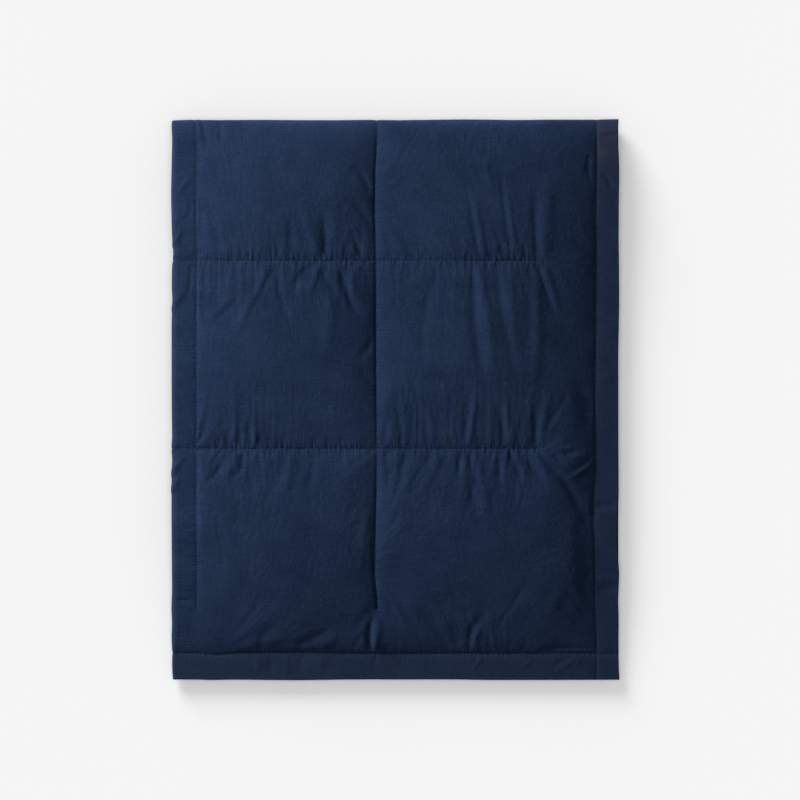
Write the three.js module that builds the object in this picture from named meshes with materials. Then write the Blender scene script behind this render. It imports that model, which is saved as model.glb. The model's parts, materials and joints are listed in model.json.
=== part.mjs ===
// A quilted down alternative throw, folded in quarters and lying flat.
// Millimetres, +Z up. The origin is the middle of the stack, on the surface under it.
// +Y points to the folded top edge and +X to the hemmed side, as seen from above.

import * as THREE from 'three';

// The throw laid out flat: u runs across from the hem that ends on top, v runs up from the near hem
const HEM = 38;
const OUTER_COLUMN = 329;
const INNER_COLUMN = 271;
const OUTER_ROW = 305.5;
const INNER_ROW = 279;
const WIDTH = 2 * (HEM + OUTER_COLUMN + INNER_COLUMN);
const LENGTH = 2 * (HEM + OUTER_ROW) + 3 * INNER_ROW;

// The quilting stops short of the hem seams, so the outer boxes join up round the line ends
const ROW_LINE_GAP = 88;
const COLUMN_LINE_GAP = 69;

// The folded stack as seen from above
const HEM_SEAM_X = 299.6;
const HEM_EDGE_X = 333;
const NEAR_EDGE_Y = -416.5;
const SIDE_FOLD_X = -322.4;
const SIDE_FOLD_REACH = 8;
const SIDE_FOLD_LENGTH = 22;
const HEM_FOLD_X = -326.5;
const HEM_FOLD_REACH = 3.5;
const TOP_FOLD_Y = 385.5;
const OUTER_FOLD_REACH = 28.7;
const INNER_FOLD_REACH = 12;
const OUTER_FOLD_LENGTH = 74;
const INNER_FOLD_LENGTH = 31;
const FOLD_SLIP_WIDTH = 200;
const FOLD_CORNER_POWER = 3;

// Thickness of the cloth at hems and stitches, and the puff above it on each face
const CLOTH = 2;
const TOP_PUFF = 18;
const FLOOR_PUFF = 7;
const INNER_PUFF = 5.5;
const BACK_PUFF = 5;
const PRESSED_FLAT = 0.5;
const PUFF_REACH = 125;
const HEM_PUFF_REACH = 90;
const LOFT_REACH = 60;
const RISE_POWER = 2.2;
const RISE_SHARPNESS = 0.82;

// How much of the puff each fold and the side hem pull flat, and how far from them
const SIDE_FOLD_PULL = 0.85;
const SIDE_FOLD_PULL_REACH = 75;
const HEM_PULL = 0.4;
const HEM_PULL_REACH = 60;
const TOP_FOLD_PULL = 0.9;
const TOP_FOLD_PULL_REACH = 45;
const BACK_FOLD_PULL = 0.3;
const BACK_FOLD_PULL_REACH = 40;

// How fast the creases grow with the puff, and the step that finds which way a face looks
const CREASE_GROWTH = 3;
const DIRECTION_STEP = 0.5;

// Heights of the middle of each layer, at the hems and where the filling is full
const LOWEST_HEM = 1;
const LOWEST_LOFT = 6;
const SECOND_HEM = 5.2;
const SECOND_HEM_DROP = 4;
const SECOND_LOFT = 6;
const SECOND_LIFT = 9.3;
const THIRD_HEM = 7;
const THIRD_LIFT = 30.8;
const THIRD_SIDE_DROP = 12;
const TOP_HEM = 16.5;
const TOP_LIFT = 4.1;
const HEM_DROOP = 1;

// The layers underneath hold the top one's lines of stitches up a little
const LINE_LIFT = 4;
const LINE_LIFT_REACH = 60;

// Where the two top layers slope down off the shorter layers under them
const NEAR_SLOPE_END = -392;
const NEAR_SLOPE_START = -180;
const SIDE_SLOPE_START = 120;
const SIDE_SLOPE_DROP = 0.5;
const HEM_SLOPE_DROP = 0.06;
const FAR_SLOPE_START = 120;
const FAR_SLOPE_END = 360;
const FAR_SLOPE_SHARE = 0.4;
const FOLD_SLOPE_START = -210;
const FOLD_SLOPE_DROP = 4.5;

const NAVY = 0x22314b;

const sideFoldStart = HEM + HEM_SEAM_X - SIDE_FOLD_X;
const sideFoldEnd = sideFoldStart + SIDE_FOLD_LENGTH;
const sideFoldMiddle = (sideFoldStart + sideFoldEnd) / 2;
const topFoldStart = TOP_FOLD_Y - NEAR_EDGE_Y;
const innerSeamX = SIDE_FOLD_X + WIDTH - HEM - sideFoldEnd;
const nearSeamY = NEAR_EDGE_Y + HEM;
const lowestFarEdgeY = TOP_FOLD_Y - (LENGTH - topFoldStart - OUTER_FOLD_LENGTH);
const secondFarEdgeY = TOP_FOLD_Y - (LENGTH - topFoldStart - INNER_FOLD_LENGTH);

const columnLines = [HEM + OUTER_COLUMN, WIDTH / 2, WIDTH - HEM - OUTER_COLUMN];
const rowLines = [0, 1, 2, 3].map((row) => HEM + OUTER_ROW + row * INNER_ROW);

// Soft creases of the top layer, in the stack's x and y: a plus height is a ridge, a minus a trough
const creases = [
  { name: 'left upper trough', x1: -176, y1: 258, x2: -170, y2: 214, height: -2.5, width: 11 },
  { name: 'left upper ridge', x1: -150, y1: 292, x2: -144, y2: 212, height: 2.5, width: 12 },
  { name: 'left upper pleat', x1: -112, y1: 270, x2: -108, y2: 214, height: -2.5, width: 11 },
  { name: 'beside the line', x1: -70, y1: 352, x2: -40, y2: 240, height: -2.5, width: 11 },
  { name: 'left middle pleat', x1: -88, y1: 196, x2: -54, y2: 118, height: -3.5, width: 12 },
  { name: 'left middle crease', x1: -186, y1: 198, x2: -226, y2: 116, height: -2, width: 12 },
  { name: 'right upper trough', x1: 104, y1: 324, x2: 126, y2: 214, height: -2.5, width: 12 },
  { name: 'right upper ridge', x1: 232, y1: 330, x2: 216, y2: 214, height: 3, width: 13 },
  { name: 'right middle trough', x1: 112, y1: 200, x2: 138, y2: 20, height: -4, width: 13 },
  { name: 'right middle ridge', x1: 132, y1: 196, x2: 158, y2: 30, height: 3, width: 13 },
  { name: 'right middle pleat', x1: 196, y1: 150, x2: 178, y2: -20, height: 2.5, width: 12 },
  { name: 'right side ridge', x1: 212, y1: 200, x2: 240, y2: 132, height: 3, width: 13 },
  { name: 'line end trough', x1: 232, y1: -86, x2: 284, y2: -172, height: -4, width: 12 },
  { name: 'line end ridge', x1: 214, y1: -80, x2: 244, y2: -122, height: 3, width: 11 },
  { name: 'lower right crease', x1: 200, y1: -264, x2: 122, y2: -352, height: -2, width: 12 },
  { name: 'lower middle pleat', x1: -34, y1: -310, x2: -42, y2: -368, height: -3.5, width: 12 },
];

// Small bulges and dents of the side fold's outline
const sideFoldDents = [
  { y: 305, out: 0.8, reach: 30 },
  { y: 222, out: -2.6, reach: 18 },
  { y: -165, out: 0.8, reach: 40 },
  { y: -306, out: 0.8, reach: 25 },
];

// Steps of the mesh across and along. Every section's number is even, since the back takes each second line.
const acrossSections = [
  { to: HEM, steps: 2 },
  { to: columnLines[0], steps: 22 },
  { to: columnLines[1], steps: 18 },
  { to: sideFoldStart, steps: 2 },
  { to: sideFoldEnd, steps: 6 },
  { to: columnLines[2], steps: 4 },
  { to: WIDTH - HEM - LOFT_REACH, steps: 4 },
  { to: WIDTH - HEM, steps: 4 },
  { to: WIDTH, steps: 2 },
];
const nearSections = [
  { to: HEM, steps: 2 },
  { to: rowLines[0], steps: 16 },
  { to: rowLines[1], steps: 16 },
  { to: topFoldStart, steps: 12 },
];
const TOP_FOLD_STEPS = 8;
const UNDER_START_STEPS = 2;
const farSections = [
  { to: rowLines[3], steps: 4 },
  { to: LENGTH - HEM - 2 * LOFT_REACH, steps: 2 },
  { to: LENGTH - HEM, steps: 6 },
  { to: LENGTH, steps: 2 },
];

function mix(a, b, share) {
  return a + (b - a) * share;
}

function clamp01(value) {
  return Math.min(Math.max(value, 0), 1);
}

function smoothStep(from, to, value) {
  const t = clamp01((value - from) / (to - from));
  return t * t * (3 - 2 * t);
}

function bell(distance, reach) {
  return Math.exp(-((distance / reach) ** 2));
}

// How far cloth has risen at a distance from a seam: steep at the stitches, nearly level at the crown
function puffRise(distance, reach) {
  const t = clamp01(distance / reach);
  return (1 - (1 - t) ** RISE_POWER) ** RISE_SHARPNESS;
}

// The same for the middle of a layer, which leaves its seam less steeply
function loftRise(distance) {
  const t = clamp01(distance / LOFT_REACH);
  return 1 - (1 - t) ** RISE_POWER;
}

// Distance from a point to a stretch of a straight line that runs along one of the two directions
function stretchDistance(side, along, start, end) {
  const past = Math.max(start - along, along - end, 0);
  return Math.hypot(side, past);
}

// Puff of the filling, 0 on a line of stitches and 1 at the middle of a box
function puff(u, v) {
  const seamDistance = Math.min(u - HEM, WIDTH - HEM - u, v - HEM, LENGTH - HEM - v);
  if (seamDistance <= 0) return 0;
  let rise = puffRise(Math.min(u - HEM, WIDTH - HEM - u), HEM_PUFF_REACH);
  rise *= puffRise(Math.min(v - HEM, LENGTH - HEM - v), HEM_PUFF_REACH);
  for (const line of columnLines) {
    const start = HEM + COLUMN_LINE_GAP;
    rise *= puffRise(stretchDistance(u - line, v, start, LENGTH - start), PUFF_REACH);
  }
  for (const line of rowLines) {
    const start = HEM + ROW_LINE_GAP;
    rise *= puffRise(stretchDistance(v - line, u, start, WIDTH - start), PUFF_REACH);
  }
  return rise;
}

// The inner layer's wrap round the top fold is shorter than the outer one's
function topFoldLength(u) {
  const inner = smoothStep(sideFoldMiddle - FOLD_SLIP_WIDTH, sideFoldMiddle + FOLD_SLIP_WIDTH, u);
  return mix(OUTER_FOLD_LENGTH, INNER_FOLD_LENGTH, inner);
}

// Where a point of the throw lies once folded: inner is 0 on the outer layers, under is 0 on the upper ones
function foldPlace(u, v) {
  const filled = loftRise(Math.min(v - HEM, LENGTH - HEM - v));
  const foldX = mix(HEM_FOLD_X, SIDE_FOLD_X, filled);
  let x = HEM_SEAM_X - (u - HEM);
  let inner = 0;
  if (u < HEM) {
    x = mix(HEM_EDGE_X, HEM_SEAM_X, u / HEM);
  } else if (u > columnLines[2]) {
    x = SIDE_FOLD_X + u - sideFoldEnd;
    inner = 1;
  } else if (u > sideFoldEnd) {
    const share = (u - sideFoldEnd) / (columnLines[2] - sideFoldEnd);
    x = mix(foldX, SIDE_FOLD_X + columnLines[2] - sideFoldEnd, share);
    inner = 1;
  } else if (u > sideFoldStart) {
    const turn = (Math.PI * (u - sideFoldStart)) / SIDE_FOLD_LENGTH;
    x = foldX - mix(HEM_FOLD_REACH, SIDE_FOLD_REACH, filled) * Math.sin(turn);
    inner = (1 - Math.cos(turn)) / 2;
  } else if (u > columnLines[1]) {
    const share = (u - columnLines[1]) / (sideFoldStart - columnLines[1]);
    x = mix(HEM_SEAM_X - (columnLines[1] - HEM), foldX, share);
  }
  const foldLength = topFoldLength(u);
  let y = NEAR_EDGE_Y + v;
  let under = 0;
  if (v > topFoldStart + foldLength) {
    y = TOP_FOLD_Y - (v - topFoldStart - foldLength);
    under = 1;
  } else if (v > topFoldStart) {
    const turn = (Math.PI * (v - topFoldStart)) / foldLength;
    y = TOP_FOLD_Y + mix(OUTER_FOLD_REACH, INNER_FOLD_REACH, inner ** FOLD_CORNER_POWER) * Math.sin(turn);
    under = (1 - Math.cos(turn)) / 2;
  }
  const sideFoldShare = bell(u - sideFoldMiddle, 2 * SIDE_FOLD_LENGTH);
  for (const dent of sideFoldDents) {
    x -= dent.out * bell(y - dent.y, dent.reach) * sideFoldShare;
  }
  return { x, y, inner, under };
}

// Heights of the middle of the four layers, from the surface up, at a place of the stack
function layerHeights(x, y) {
  const lowestLoft = loftRise(HEM_SEAM_X - x) * loftRise(y - lowestFarEdgeY - HEM);
  const secondLoft = loftRise(innerSeamX - x) * loftRise(y - secondFarEdgeY - HEM);
  const offLowest = 1 - smoothStep(secondFarEdgeY, (lowestFarEdgeY + secondFarEdgeY) / 2, y);
  const nearSlope = smoothStep(NEAR_SLOPE_END, NEAR_SLOPE_START, y);
  const foldSlope = FOLD_SLOPE_DROP * clamp01((FOLD_SLOPE_START - x) / (FOLD_SLOPE_START - SIDE_FOLD_X)) ** 2;
  const thirdLift = THIRD_LIFT - foldSlope - THIRD_SIDE_DROP * (1 - loftRise(innerSeamX - x));
  const sideSlope = clamp01((x - SIDE_SLOPE_START) / (HEM_SEAM_X - SIDE_SLOPE_START));
  const hemSlope = clamp01((x - HEM_SEAM_X) / (HEM_EDGE_X - HEM_SEAM_X));
  const far = 1 - (1 - FAR_SLOPE_SHARE) * smoothStep(FAR_SLOPE_START, FAR_SLOPE_END, y);
  const support = 1 - far * (SIDE_SLOPE_DROP * sideSlope ** 2 + HEM_SLOPE_DROP * hemSlope);
  const lift = (THIRD_LIFT - foldSlope) * nearSlope + TOP_LIFT * loftRise(y - nearSeamY);
  const droop = HEM_DROOP * clamp01((nearSeamY - y) / HEM);
  let top = TOP_HEM - droop + support * lift;
  for (const line of rowLines.slice(0, 2)) {
    top += LINE_LIFT * bell(y - NEAR_EDGE_Y - line, LINE_LIFT_REACH) * loftRise(HEM_SEAM_X - x);
  }
  const columnX = HEM_SEAM_X + HEM - columnLines[0];
  top += LINE_LIFT * bell(x - columnX, LINE_LIFT_REACH) * loftRise(y - nearSeamY);
  return {
    lowest: LOWEST_HEM + LOWEST_LOFT * lowestLoft,
    second: SECOND_HEM - SECOND_HEM_DROP * offLowest + SECOND_LIFT * lowestLoft + SECOND_LOFT * secondLoft,
    third: THIRD_HEM + nearSlope * thirdLift,
    top,
  };
}

function middlePoint(u, v) {
  const place = foldPlace(u, v);
  const height = layerHeights(Math.max(place.x, SIDE_FOLD_X), Math.min(place.y, TOP_FOLD_Y));
  const upper = mix(height.top, height.third, place.inner);
  const lower = mix(height.lowest, height.second, place.inner);
  return new THREE.Vector3(place.x, place.y, mix(upper, lower, place.under));
}

// The direction from the middle of the cloth out through its front face
function frontDirection(u, v) {
  const across = middlePoint(u + DIRECTION_STEP, v).sub(middlePoint(u - DIRECTION_STEP, v));
  const along = middlePoint(u, v + DIRECTION_STEP).sub(middlePoint(u, v - DIRECTION_STEP));
  return along.cross(across).normalize();
}

// Sum of the soft creases at a place of the top layer
function creaseHeight(x, y) {
  let height = 0;
  for (const crease of creases) {
    const start = new THREE.Vector2(crease.x1, crease.y1);
    const run = new THREE.Vector2(crease.x2, crease.y2).sub(start);
    const offset = new THREE.Vector2(x, y).sub(start);
    const share = clamp01(offset.dot(run) / run.lengthSq());
    const distance = offset.sub(run.clone().multiplyScalar(share)).length();
    height += crease.height * bell(distance, crease.width);
  }
  return height;
}

// Height of each face above the middle of the cloth. The folds pull the puff flat where the cloth turns.
function frontHeight(u, v) {
  const { x, y, inner, under } = foldPlace(u, v);
  const upperPuff = mix(TOP_PUFF, INNER_PUFF, inner);
  const lowerPuff = mix(FLOOR_PUFF, INNER_PUFF, inner);
  const topFoldMiddle = topFoldStart + topFoldLength(u) / 2;
  const sideTension = 1 - SIDE_FOLD_PULL * bell(u - sideFoldMiddle, SIDE_FOLD_PULL_REACH);
  const topTension = 1 - TOP_FOLD_PULL * bell(v - topFoldMiddle, TOP_FOLD_PULL_REACH);
  const hemTension = 1 - HEM_PULL * bell(u - HEM, HEM_PULL_REACH);
  const fullness = puff(u, v) * sideTension * topTension * hemTension;
  const crease = creaseHeight(x, y) * (1 - inner) * (1 - under) * Math.min(fullness * CREASE_GROWTH, 1);
  return CLOTH / 2 + mix(upperPuff, lowerPuff, under) * fullness + crease;
}

function backHeight(u, v) {
  const sideTension = 1 - BACK_FOLD_PULL * bell(u - sideFoldMiddle, BACK_FOLD_PULL_REACH);
  return CLOTH / 2 + BACK_PUFF * puff(u, v) * sideTension;
}

// A face's point at a height above the middle of the cloth. What reaches the surface is pressed flat.
function facePoint(u, v, height) {
  const point = middlePoint(u, v).addScaledVector(frontDirection(u, v), height);
  if (point.z < PRESSED_FLAT) point.z = 0;
  return point;
}

function frontPoint(u, v) {
  return facePoint(u, v, frontHeight(u, v));
}

function backPoint(u, v) {
  return facePoint(u, v, -backHeight(u, v));
}

function stations(from, sections) {
  const places = [];
  let start = from;
  for (const section of sections) {
    for (let step = 1; step <= section.steps; step += 1) {
      places.push(mix(start, section.to, step / section.steps));
    }
    start = section.to;
  }
  return places;
}

// The rows of the mesh. Those in the top fold depend on u, because the layers slip past each other there.
function rowPlaces() {
  const near = [0, ...stations(0, nearSections)].map((v) => () => v);
  const fold = [];
  for (let step = 1; step <= TOP_FOLD_STEPS; step += 1) {
    fold.push((u) => topFoldStart + (topFoldLength(u) * step) / TOP_FOLD_STEPS);
  }
  for (let step = 1; step <= UNDER_START_STEPS; step += 1) {
    fold.push((u) => mix(topFoldStart + topFoldLength(u), rowLines[2], step / UNDER_START_STEPS));
  }
  const far = stations(rowLines[2], farSections).map((v) => () => v);
  return [...near, ...fold, ...far];
}

// One closed surface: a fine front, a back with every second line, and the hem's edge between them
function throwGeometry() {
  const columns = [0, ...stations(0, acrossSections)];
  const rows = rowPlaces();
  const positions = [];
  const triangles = [];

  function addGrid(stride, makePoint) {
    const numbers = [];
    for (let row = 0; row < rows.length; row += stride) {
      const line = [];
      for (let column = 0; column < columns.length; column += stride) {
        const u = columns[column];
        line.push(positions.length / 3);
        positions.push(...makePoint(u, rows[row](u)).toArray());
      }
      numbers.push(line);
    }
    return numbers;
  }

  function addQuads(grid, turned) {
    for (let row = 0; row + 1 < grid.length; row += 1) {
      for (let column = 0; column + 1 < grid[row].length; column += 1) {
        const a = grid[row][column];
        const b = grid[row][column + 1];
        const c = grid[row + 1][column + 1];
        const d = grid[row + 1][column];
        if (turned) triangles.push(a, b, c, a, c, d);
        else triangles.push(a, c, b, a, d, c);
      }
    }
  }

  // The border of a grid as one loop, so that the two loops start at the same corner
  function border(grid) {
    const last = grid.length - 1;
    const end = grid[0].length - 1;
    const loop = [...grid[0].slice(0, end)];
    for (let row = 0; row < last; row += 1) loop.push(grid[row][end]);
    for (let column = end; column > 0; column -= 1) loop.push(grid[last][column]);
    for (let row = last; row > 0; row -= 1) loop.push(grid[row][0]);
    return loop;
  }

  const front = addGrid(1, frontPoint);
  const back = addGrid(2, backPoint);
  addQuads(front, false);
  addQuads(back, true);
  const frontLoop = border(front);
  const backLoop = border(back);
  for (let i = 0; i < backLoop.length; i += 1) {
    const a = frontLoop[2 * i];
    const middle = frontLoop[2 * i + 1];
    const b = frontLoop[(2 * i + 2) % frontLoop.length];
    const backA = backLoop[i];
    const backB = backLoop[(i + 1) % backLoop.length];
    triangles.push(a, middle, backA, middle, backB, backA, middle, b, backB);
  }

  const geometry = new THREE.BufferGeometry();
  geometry.setAttribute('position', new THREE.Float32BufferAttribute(positions, 3));
  geometry.setIndex(triangles);
  geometry.computeVertexNormals();
  return geometry;
}

function quiltedThrow() {
  const cotton = new THREE.MeshStandardMaterial({ color: NAVY, roughness: 0.85, metalness: 0 });
  cotton.name = 'navy_cotton';
  const mesh = new THREE.Mesh(throwGeometry(), cotton);
  mesh.name = 'quilted_throw';
  return mesh;
}

const foldedThrow = new THREE.Group();
foldedThrow.add(quiltedThrow());

export default foldedThrow;
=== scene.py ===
# A quilted down alternative throw, folded in quarters and seen from straight above.
# Metres, +Z up. The fold's sizes are those of the plain solid in the frame, with thinner cloth and an easier
# slope beside the side hem, so the fine cloth lies within a few millimetres of it.
import json
import math

import bmesh
import bpy
import numpy as np
from mathutils import Matrix, Vector

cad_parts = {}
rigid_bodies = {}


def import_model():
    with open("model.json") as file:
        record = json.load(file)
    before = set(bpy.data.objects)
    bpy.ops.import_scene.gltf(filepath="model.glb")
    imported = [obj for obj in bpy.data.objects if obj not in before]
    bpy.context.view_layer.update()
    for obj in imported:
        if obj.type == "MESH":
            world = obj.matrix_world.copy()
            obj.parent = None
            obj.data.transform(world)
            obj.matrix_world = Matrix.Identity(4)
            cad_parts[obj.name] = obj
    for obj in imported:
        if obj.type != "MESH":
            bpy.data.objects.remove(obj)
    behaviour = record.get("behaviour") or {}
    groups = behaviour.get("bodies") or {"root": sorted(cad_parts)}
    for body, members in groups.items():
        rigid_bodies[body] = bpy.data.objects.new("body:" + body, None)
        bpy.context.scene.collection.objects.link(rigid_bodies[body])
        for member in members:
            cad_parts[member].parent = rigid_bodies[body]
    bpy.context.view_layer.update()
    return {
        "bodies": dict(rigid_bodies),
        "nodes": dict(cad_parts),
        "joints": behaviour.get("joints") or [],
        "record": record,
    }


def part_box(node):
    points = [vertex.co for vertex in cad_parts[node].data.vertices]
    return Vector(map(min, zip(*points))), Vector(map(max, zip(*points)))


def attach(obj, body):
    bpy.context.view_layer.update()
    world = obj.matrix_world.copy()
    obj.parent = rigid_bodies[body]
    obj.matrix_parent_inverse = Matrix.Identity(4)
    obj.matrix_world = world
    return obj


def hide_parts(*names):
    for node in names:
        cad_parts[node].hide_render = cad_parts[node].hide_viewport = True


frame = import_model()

NODE = "quilted_throw"
node_low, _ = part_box(NODE)

# The throw laid out flat: u runs across from the hem that ends on top, v runs up from the near hem
HEM = 0.038
OUTER_COLUMN = 0.329
INNER_COLUMN = 0.271
OUTER_ROW = 0.3055
INNER_ROW = 0.279
WIDTH = 2 * (HEM + OUTER_COLUMN + INNER_COLUMN)
LENGTH = 2 * (HEM + OUTER_ROW) + 3 * INNER_ROW
ROW_LINE_GAP = 0.088
COLUMN_LINE_GAP = 0.069
COLUMN_LINES = (HEM + OUTER_COLUMN, WIDTH / 2, WIDTH - HEM - OUTER_COLUMN)
ROW_LINES = tuple(HEM + OUTER_ROW + row * INNER_ROW for row in range(4))

# The folded stack as seen from above
HEM_SEAM_X = 0.2996
HEM_EDGE_X = 0.333
NEAR_EDGE_Y = -0.4165
SIDE_FOLD_X = -0.3224
SIDE_FOLD_REACH = 0.008
SIDE_FOLD_LENGTH = 0.022
HEM_FOLD_X = -0.3265
HEM_FOLD_REACH = 0.0035
TOP_FOLD_Y = 0.3855
OUTER_FOLD_REACH = 0.0287
INNER_FOLD_REACH = 0.012
OUTER_FOLD_LENGTH = 0.074
INNER_FOLD_LENGTH = 0.031
FOLD_SLIP_WIDTH = 0.2
FOLD_CORNER_POWER = 3
side_fold_start = HEM + HEM_SEAM_X - SIDE_FOLD_X
side_fold_end = side_fold_start + SIDE_FOLD_LENGTH
side_fold_middle = (side_fold_start + side_fold_end) / 2
top_fold_start = TOP_FOLD_Y - NEAR_EDGE_Y
inner_seam_x = SIDE_FOLD_X + WIDTH - HEM - side_fold_end
near_seam_y = NEAR_EDGE_Y + HEM
lowest_far_edge_y = TOP_FOLD_Y - (LENGTH - top_fold_start - OUTER_FOLD_LENGTH)
second_far_edge_y = TOP_FOLD_Y - (LENGTH - top_fold_start - INNER_FOLD_LENGTH)

# Thickness of the cloth at hems and stitches, and the puff above it on each face
CLOTH = 0.0018
TOP_PUFF = 0.018
FLOOR_PUFF = 0.007
INNER_PUFF = 0.0052
BACK_PUFF = 0.0048
PUFF_REACH = 0.125
HEM_PUFF_REACH = 0.09
LOFT_REACH = 0.06
RISE_POWER = 2.2
RISE_SHARPNESS = 0.82
HEM_SHARPNESS = 0.9

# How deep each line of stitches cuts into the puff of the front, in the order of the lines
COLUMN_DEPTHS = (1.0, 0.3, 1.0)
ROW_DEPTHS = (0.9, 0.5, 1.0, 1.0)
COLUMN_SHARPNESS = (0.92, 1.5, 0.92)
ROW_SHARPNESS = (RISE_SHARPNESS,) * len(ROW_LINES)

# Cloth that would lie lower than this is pressed flat on the surface
PRESSED_FLAT = 0.0005

# How much the pull of the cloth flattens the puff round a fold or beside the side hem, and how far from there
SIDE_FOLD_PULL = 0.85
SIDE_FOLD_PULL_REACH = 0.075
HEM_PULL = 0.5
HEM_PULL_REACH = 0.08
TOP_FOLD_PULL = 0.9
TOP_FOLD_PULL_REACH = 0.045
BACK_FOLD_PULL = 0.3
BACK_FOLD_PULL_REACH = 0.04

# Step over which the slope of a layer's middle is taken
DIRECTION_STEP = 0.0005

# Small bulges and dents of the side fold's outline, and how far round the fold they reach
SIDE_FOLD_DENTS = (
    # y, out, reach
    (0.411, 0.0016, 0.018),
    (0.305, 0.0008, 0.030),
    (0.222, -0.0020, 0.018),
    (0.142, -0.0014, 0.014),
    (-0.072, 0.0014, 0.010),
    (-0.140, 0.0003, 0.040),
    (-0.312, 0.0012, 0.018),
    (-0.355, 0.0016, 0.020),
    (-0.395, 0.0025, 0.030),
)
DENT_REACH = 2 * SIDE_FOLD_LENGTH

# How far the sewn lines and the outline wander from straight, in millimetres, as measured on the photograph
ALONG_WANDER = (
    # y, middle column's line to the right, side seam to the right, hem's edge to the right
    (417, 2.9, -0.5, -0.2),
    (402, 2.7, -0.5, -3.6),
    (365, 0.9, -0.6, -1.4),
    (340, -0.7, -0.8, -0.6),
    (280, -1.9, -1.5, -1.3),
    (233, -0.2, -2.0, -1.2),
    (200, 0.3, -2.2, -0.6),
    (140, 0.3, -2.2, -0.2),
    (70, 0.3, -2.3, -1.6),
    (-72, 1.8, -3.0, -1.4),
    (-120, 1.3, -3.0, -1.1),
    (-150, 0.7, -5.4, -1.2),
    (-185, -0.3, -5.4, -3.2),
    (-225, -1.7, -3.2, -3.0),
    (-258, -2.6, -3.1, 0.2),
    (-298, 2.2, -2.6, -1.4),
    (-330, 2.7, -1.2, -0.4),
    (-366, 1.7, 0.4, -0.5),
    (-400, 0.7, 0.4, 0.0),
    (-417, 0.7, 0.4, 1.2),
)
ACROSS_WANDER = (
    # x, near seam up, near edge up, top fold's outline up
    (-334, 0.0, -1.2, 0.3),
    (-300, 0.0, -1.2, 1.5),
    (-284, -0.2, -1.6, 0.8),
    (-272, -3.8, -2.0, 0.4),
    (-258, -1.7, -1.5, 0.2),
    (-232, 1.2, -1.3, 0.2),
    (-195, 1.3, -1.8, 0.2),
    (-140, 1.4, -2.2, -0.3),
    (-83, 0.0, -1.3, -0.1),
    (-30, 0.0, -1.0, 1.0),
    (0, -0.1, -1.2, 0.0),
    (60, -0.2, -1.0, 0.4),
    (100, -0.2, -1.2, 0.9),
    (135, -0.2, -1.9, 0.6),
    (180, -0.1, -1.8, 0.0),
    (235, -0.1, -1.8, 1.0),
    (281, 0.0, -1.7, 1.4),
    (300, -1.7, -1.6, 2.0),
    (334, -1.7, -1.5, 2.8),
)

# How far to its sides each line takes the cloth with it
FOLD_WANDER_REACH = 0.03
LINE_WANDER_REACH = 0.045
SEAM_WANDER_REACH = 0.04

# The line of stitches beside the side fold lies this much further from the fold
STRIP_LINE_IN = 0.0055
STRIP_LINE_REACH = 0.012

# Corners of the tables are rounded over this many millimetres each way
WANDER_SMOOTHING = 8

# Heights of the middle of each layer, at the hems and where the filling is full
LOWEST_HEM = 0.001
LOWEST_LOFT = 0.006
SECOND_HEM = 0.0052
SECOND_HEM_DROP = 0.004
SECOND_LOFT = 0.006
SECOND_LIFT = 0.0093
THIRD_HEM = 0.007
THIRD_LIFT = 0.0308
THIRD_SIDE_DROP = 0.012
TOP_HEM = 0.0165
TOP_LIFT = 0.0041
HEM_DROOP = 0.001
LINE_LIFT = 0.004
LINE_LIFT_REACH = 0.06
NEAR_SLOPE_END = -0.392
NEAR_SLOPE_START = -0.18
SIDE_SLOPE_START = 0.06
SIDE_SLOPE_DROP = 0.5
HEM_SLOPE_DROP = 0.06
FAR_SLOPE_START = 0.12
FAR_SLOPE_END = 0.36
FAR_SLOPE_SHARE = 0.4
FOLD_SLOPE_START = -0.21
FOLD_SLOPE_DROP = 0.0045


def mesh_of(name, bm):
    mesh = bpy.data.meshes.new(name)
    bm.to_mesh(mesh)
    bm.free()
    return mesh


def shown(name, data):
    """A new object in the scene, at the origin."""
    piece = bpy.data.objects.new(name, data)
    bpy.context.scene.collection.objects.link(piece)
    return piece


def mix(a, b, share):
    return a + (b - a) * share


def smooth_step(start, end, value):
    t = np.clip((value - start) / (end - start), 0, 1)
    return t * t * (3 - 2 * t)


def bell(distance, reach):
    return np.exp(-((distance / reach) ** 2))


def puff_rise(distance, reach=PUFF_REACH, sharpness=RISE_SHARPNESS):
    """Height of the filled cloth at a distance from a seam, 0 at the stitches and 1 at the crown."""
    t = np.clip(distance / reach, 0, 1)
    return (1 - (1 - t) ** RISE_POWER) ** sharpness


def loft_rise(distance):
    """The same for the middle of a layer, which leaves its seam less steeply."""
    t = np.clip(distance / LOFT_REACH, 0, 1)
    return 1 - (1 - t) ** RISE_POWER


def stretch_distance(side, along, start, end):
    past = np.maximum(np.maximum(start - along, along - end), 0)
    return np.hypot(side, past)


def line_distances(u, v):
    """How far a point is from each line of stitches: the columns' lines first, then the rows'."""
    column_start, row_start = HEM + COLUMN_LINE_GAP, HEM + ROW_LINE_GAP
    columns = [stretch_distance(u - line, v, column_start, LENGTH - column_start) for line in COLUMN_LINES]
    rows = [stretch_distance(v - line, u, row_start, WIDTH - row_start) for line in ROW_LINES]
    return columns + rows


def puff(u, v, front=True):
    """Fullness of the filling, 0 on a line of stitches and 1 at the middle of a box."""
    sharpness = HEM_SHARPNESS if front else RISE_SHARPNESS
    rise = puff_rise(np.minimum(u, WIDTH - u) - HEM, HEM_PUFF_REACH, sharpness)
    rise = rise * puff_rise(np.minimum(v, LENGTH - v) - HEM, HEM_PUFF_REACH, sharpness)
    lines = zip(line_distances(u, v), COLUMN_DEPTHS + ROW_DEPTHS, COLUMN_SHARPNESS + ROW_SHARPNESS)
    for distance, depth, line_sharpness in lines:
        if front:
            rise = rise * (1 - depth * (1 - puff_rise(distance, sharpness=line_sharpness)))
        else:
            rise = rise * puff_rise(distance)
    return rise


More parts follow.
